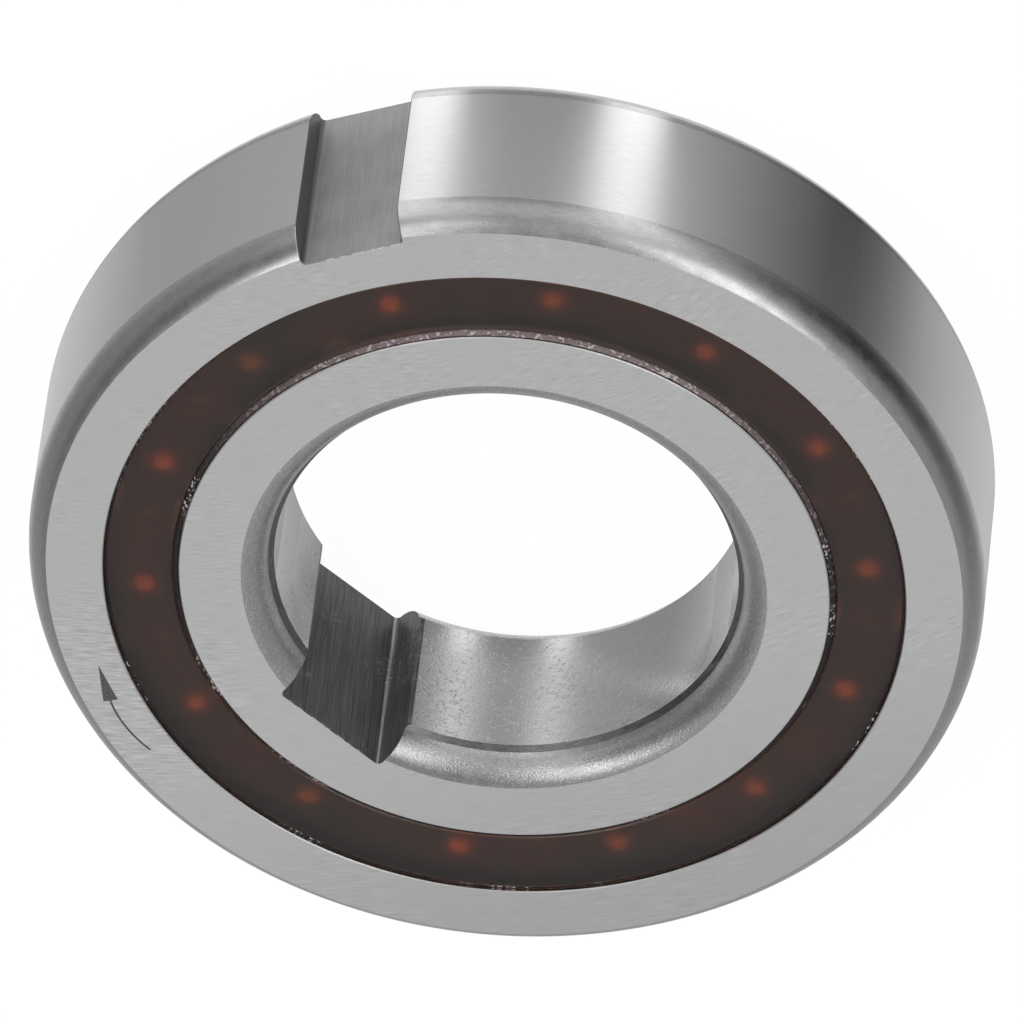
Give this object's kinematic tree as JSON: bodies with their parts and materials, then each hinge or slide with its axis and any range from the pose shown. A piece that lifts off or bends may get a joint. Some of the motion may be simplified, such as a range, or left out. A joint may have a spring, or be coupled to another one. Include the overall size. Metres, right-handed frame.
{
  "type": "sprag clutch",
  "caption": "One-way clutch bearing: keyed inner and outer rings with balls and sprags side by side in one cage between them, under two shields.",
  "frame": {"origin": "on the bearing axis at the back face", "axes": "+Z along the bearing axis, out of the front face that carries the arrow; -Y through the middle of the outer keyway"},
  "size_m": [0.072, 0.0718, 0.017],
  "materials": {
    "ring_steel": "ground and brushed bearing steel",
    "shield_plastic": "dark brown moulded plastic, slightly see-through",
    "cage_plastic": "dark brown moulded plastic",
    "pin_brass": "bright pin heads",
    "spring_steel": "drawn spring wire",
    "ball_steel": "polished",
    "sprag_steel": "hardened, tumbled smooth"
  },
  "bodies": {
    "housing": {"outer_ring": "ring_steel", "front_shield": "shield_plastic", "back_shield": "shield_plastic"},
    "inner_race": {"inner_ring": "ring_steel"},
    "cage_set": {"cage": "cage_plastic", "closing_ring": "cage_plastic", "closing_pins": "pin_brass", "front_spring": "spring_steel", "back_spring": "spring_steel"},
    "ball_01": {"ball_01": "ball_steel"},
    "ball_02": {"ball_02": "ball_steel"},
    "ball_03": {"ball_03": "ball_steel"},
    "ball_04": {"ball_04": "ball_steel"},
    "ball_05": {"ball_05": "ball_steel"},
    "ball_06": {"ball_06": "ball_steel"},
    "ball_07": {"ball_07": "ball_steel"},
    "ball_08": {"ball_08": "ball_steel"},
    "ball_09": {"ball_09": "ball_steel"},
    "ball_10": {"ball_10": "ball_steel"},
    "ball_11": {"ball_11": "ball_steel"},
    "ball_12": {"ball_12": "ball_steel"},
    "ball_13": {"ball_13": "ball_steel"},
    "ball_14": {"ball_14": "ball_steel"},
    "sprag_01": {"sprag_01": "sprag_steel"},
    "sprag_02": {"sprag_02": "sprag_steel"},
    "sprag_03": {"sprag_03": "sprag_steel"},
    "sprag_04": {"sprag_04": "sprag_steel"},
    "sprag_05": {"sprag_05": "sprag_steel"},
    "sprag_06": {"sprag_06": "sprag_steel"},
    "sprag_07": {"sprag_07": "sprag_steel"},
    "sprag_08": {"sprag_08": "sprag_steel"},
    "sprag_09": {"sprag_09": "sprag_steel"},
    "sprag_10": {"sprag_10": "sprag_steel"},
    "sprag_11": {"sprag_11": "sprag_steel"},
    "sprag_12": {"sprag_12": "sprag_steel"},
    "sprag_13": {"sprag_13": "sprag_steel"},
    "sprag_14": {"sprag_14": "sprag_steel"}
  },
  "joints": [
    {"name": "inner_spin", "type": "hinge", "parent": "housing", "child": "inner_race", "pos_m": [0, 0, 0.0085], "axis": [0, 0, 1], "continuous": true},
    {"name": "cage_spin", "type": "hinge", "parent": "housing", "child": "cage_set", "pos_m": [0, 0, 0.0085], "axis": [0, 0, 1], "continuous": true},
    {"name": "ball_01_spin", "type": "hinge", "parent": "cage_set", "child": "ball_01", "pos_m": [0.02677, 0.00559, 0.0085], "axis": [0, 0, 1], "continuous": true},
    {"name": "ball_02_spin", "type": "hinge", "parent": "cage_set", "child": "ball_02", "pos_m": [0.02169, 0.01665, 0.0085], "axis": [0, 0, 1], "continuous": true},
    {"name": "ball_03_spin", "type": "hinge", "parent": "cage_set", "child": "ball_03", "pos_m": [0.01232, 0.02442, 0.0085], "axis": [0, 0, 1], "continuous": true},
    {"name": "ball_04_spin", "type": "hinge", "parent": "cage_set", "child": "ball_04", "pos_m": [0.0005, 0.02735, 0.0085], "axis": [0, 0, 1], "continuous": true},
    {"name": "ball_05_spin", "type": "hinge", "parent": "cage_set", "child": "ball_05", "pos_m": [-0.01141, 0.02486, 0.0085], "axis": [0, 0, 1], "continuous": true},
    {"name": "ball_06_spin", "type": "hinge", "parent": "cage_set", "child": "ball_06", "pos_m": [-0.02106, 0.01744, 0.0085], "axis": [0, 0, 1], "continuous": true},
    {"name": "ball_07_spin", "type": "hinge", "parent": "cage_set", "child": "ball_07", "pos_m": [-0.02655, 0.00658, 0.0085], "axis": [0, 0, 1], "continuous": true},
    {"name": "ball_08_spin", "type": "hinge", "parent": "cage_set", "child": "ball_08", "pos_m": [-0.02677, -0.00559, 0.0085], "axis": [0, 0, 1], "continuous": true},
    {"name": "ball_09_spin", "type": "hinge", "parent": "cage_set", "child": "ball_09", "pos_m": [-0.02169, -0.01665, 0.0085], "axis": [0, 0, 1], "continuous": true},
    {"name": "ball_10_spin", "type": "hinge", "parent": "cage_set", "child": "ball_10", "pos_m": [-0.01232, -0.02442, 0.0085], "axis": [0, 0, 1], "continuous": true},
    {"name": "ball_11_spin", "type": "hinge", "parent": "cage_set", "child": "ball_11", "pos_m": [-0.0005, -0.02735, 0.0085], "axis": [0, 0, 1], "continuous": true},
    {"name": "ball_12_spin", "type": "hinge", "parent": "cage_set", "child": "ball_12", "pos_m": [0.01141, -0.02486, 0.0085], "axis": [0, 0, 1], "continuous": true},
    {"name": "ball_13_spin", "type": "hinge", "parent": "cage_set", "child": "ball_13", "pos_m": [0.02106, -0.01744, 0.0085], "axis": [0, 0, 1], "continuous": true},
    {"name": "ball_14_spin", "type": "hinge", "parent": "cage_set", "child": "ball_14", "pos_m": [0.02655, -0.00658, 0.0085], "axis": [0, 0, 1], "continuous": true},
    {"name": "sprag_01_tilt", "type": "hinge", "parent": "cage_set", "child": "sprag_01", "pos_m": [0.02486, 0.01141, 0.0085], "axis": [0, 0, -1], "range_deg": [0, 5], "stiffness_Nm_per_rad": 0.0005},
    {"name": "sprag_02_tilt", "type": "hinge", "parent": "cage_set", "child": "sprag_02", "pos_m": [0.01744, 0.02106, 0.0085], "axis": [0, 0, -1], "range_deg": [0, 5], "stiffness_Nm_per_rad": 0.0005},
    {"name": "sprag_03_tilt", "type": "hinge", "parent": "cage_set", "child": "sprag_03", "pos_m": [0.00658, 0.02655, 0.0085], "axis": [0, 0, -1], "range_deg": [0, 5], "stiffness_Nm_per_rad": 0.0005},
    {"name": "sprag_04_tilt", "type": "hinge", "parent": "cage_set", "child": "sprag_04", "pos_m": [-0.00559, 0.02677, 0.0085], "axis": [0, 0, -1], "range_deg": [0, 5], "stiffness_Nm_per_rad": 0.0005},
    {"name": "sprag_05_tilt", "type": "hinge", "parent": "cage_set", "child": "sprag_05", "pos_m": [-0.01665, 0.02169, 0.0085], "axis": [0, 0, -1], "range_deg": [0, 5], "stiffness_Nm_per_rad": 0.0005},
    {"name": "sprag_06_tilt", "type": "hinge", "parent": "cage_set", "child": "sprag_06", "pos_m": [-0.02442, 0.01232, 0.0085], "axis": [0, 0, -1], "range_deg": [0, 5], "stiffness_Nm_per_rad": 0.0005},
    {"name": "sprag_07_tilt", "type": "hinge", "parent": "cage_set", "child": "sprag_07", "pos_m": [-0.02735, 0.0005, 0.0085], "axis": [0, 0, -1], "range_deg": [0, 5], "stiffness_Nm_per_rad": 0.0005},
    {"name": "sprag_08_tilt", "type": "hinge", "parent": "cage_set", "child": "sprag_08", "pos_m": [-0.02486, -0.01141, 0.0085], "axis": [0, 0, -1], "range_deg": [0, 5], "stiffness_Nm_per_rad": 0.0005},
    {"name": "sprag_09_tilt", "type": "hinge", "parent": "cage_set", "child": "sprag_09", "pos_m": [-0.01744, -0.02106, 0.0085], "axis": [0, 0, -1], "range_deg": [0, 5], "stiffness_Nm_per_rad": 0.0005},
    {"name": "sprag_10_tilt", "type": "hinge", "parent": "cage_set", "child": "sprag_10", "pos_m": [-0.00658, -0.02655, 0.0085], "axis": [0, 0, -1], "range_deg": [0, 5], "stiffness_Nm_per_rad": 0.0005},
    {"name": "sprag_11_tilt", "type": "hinge", "parent": "cage_set", "child": "sprag_11", "pos_m": [0.00559, -0.02677, 0.0085], "axis": [0, 0, -1], "range_deg": [0, 5], "stiffness_Nm_per_rad": 0.0005},
    {"name": "sprag_12_tilt", "type": "hinge", "parent": "cage_set", "child": "sprag_12", "pos_m": [0.01665, -0.02169, 0.0085], "axis": [0, 0, -1], "range_deg": [0, 5], "stiffness_Nm_per_rad": 0.0005},
    {"name": "sprag_13_tilt", "type": "hinge", "parent": "cage_set", "child": "sprag_13", "pos_m": [0.02442, -0.01232, 0.0085], "axis": [0, 0, -1], "range_deg": [0, 5], "stiffness_Nm_per_rad": 0.0005},
    {"name": "sprag_14_tilt", "type": "hinge", "parent": "cage_set", "child": "sprag_14", "pos_m": [0.02735, -0.0005, 0.0085], "axis": [0, 0, -1], "range_deg": [0, 5], "stiffness_Nm_per_rad": 0.0005}
  ],
  "couplings": [
    {"joint": "cage_spin", "follows": "inner_spin", "ratio": 0.4347},
    {"joint": "ball_01_spin", "follows": "inner_spin", "ratio": -3.7631},
    {"joint": "ball_02_spin", "follows": "inner_spin", "ratio": -3.7631},
    {"joint": "ball_03_spin", "follows": "inner_spin", "ratio": -3.7631},
    {"joint": "ball_04_spin", "follows": "inner_spin", "ratio": -3.7631},
    {"joint": "ball_05_spin", "follows": "inner_spin", "ratio": -3.7631},
    {"joint": "ball_06_spin", "follows": "inner_spin", "ratio": -3.7631},
    {"joint": "ball_07_spin", "follows": "inner_spin", "ratio": -3.7631},
    {"joint": "ball_08_spin", "follows": "inner_spin", "ratio": -3.7631},
    {"joint": "ball_09_spin", "follows": "inner_spin", "ratio": -3.7631},
    {"joint": "ball_10_spin", "follows": "inner_spin", "ratio": -3.7631},
    {"joint": "ball_11_spin", "follows": "inner_spin", "ratio": -3.7631},
    {"joint": "ball_12_spin", "follows": "inner_spin", "ratio": -3.7631},
    {"joint": "ball_13_spin", "follows": "inner_spin", "ratio": -3.7631},
    {"joint": "ball_14_spin", "follows": "inner_spin", "ratio": -3.7631},
    {"joint": "sprag_02_tilt", "follows": "sprag_01_tilt", "ratio": 1},
    {"joint": "sprag_03_tilt", "follows": "sprag_01_tilt", "ratio": 1},
    {"joint": "sprag_04_tilt", "follows": "sprag_01_tilt", "ratio": 1},
    {"joint": "sprag_05_tilt", "follows": "sprag_01_tilt", "ratio": 1},
    {"joint": "sprag_06_tilt", "follows": "sprag_01_tilt", "ratio": 1},
    {"joint": "sprag_07_tilt", "follows": "sprag_01_tilt", "ratio": 1},
    {"joint": "sprag_08_tilt", "follows": "sprag_01_tilt", "ratio": 1},
    {"joint": "sprag_09_tilt", "follows": "sprag_01_tilt", "ratio": 1},
    {"joint": "sprag_10_tilt", "follows": "sprag_01_tilt", "ratio": 1},
    {"joint": "sprag_11_tilt", "follows": "sprag_01_tilt", "ratio": 1},
    {"joint": "sprag_12_tilt", "follows": "sprag_01_tilt", "ratio": 1},
    {"joint": "sprag_13_tilt", "follows": "sprag_01_tilt", "ratio": 1},
    {"joint": "sprag_14_tilt", "follows": "sprag_01_tilt", "ratio": 1}
  ]
}
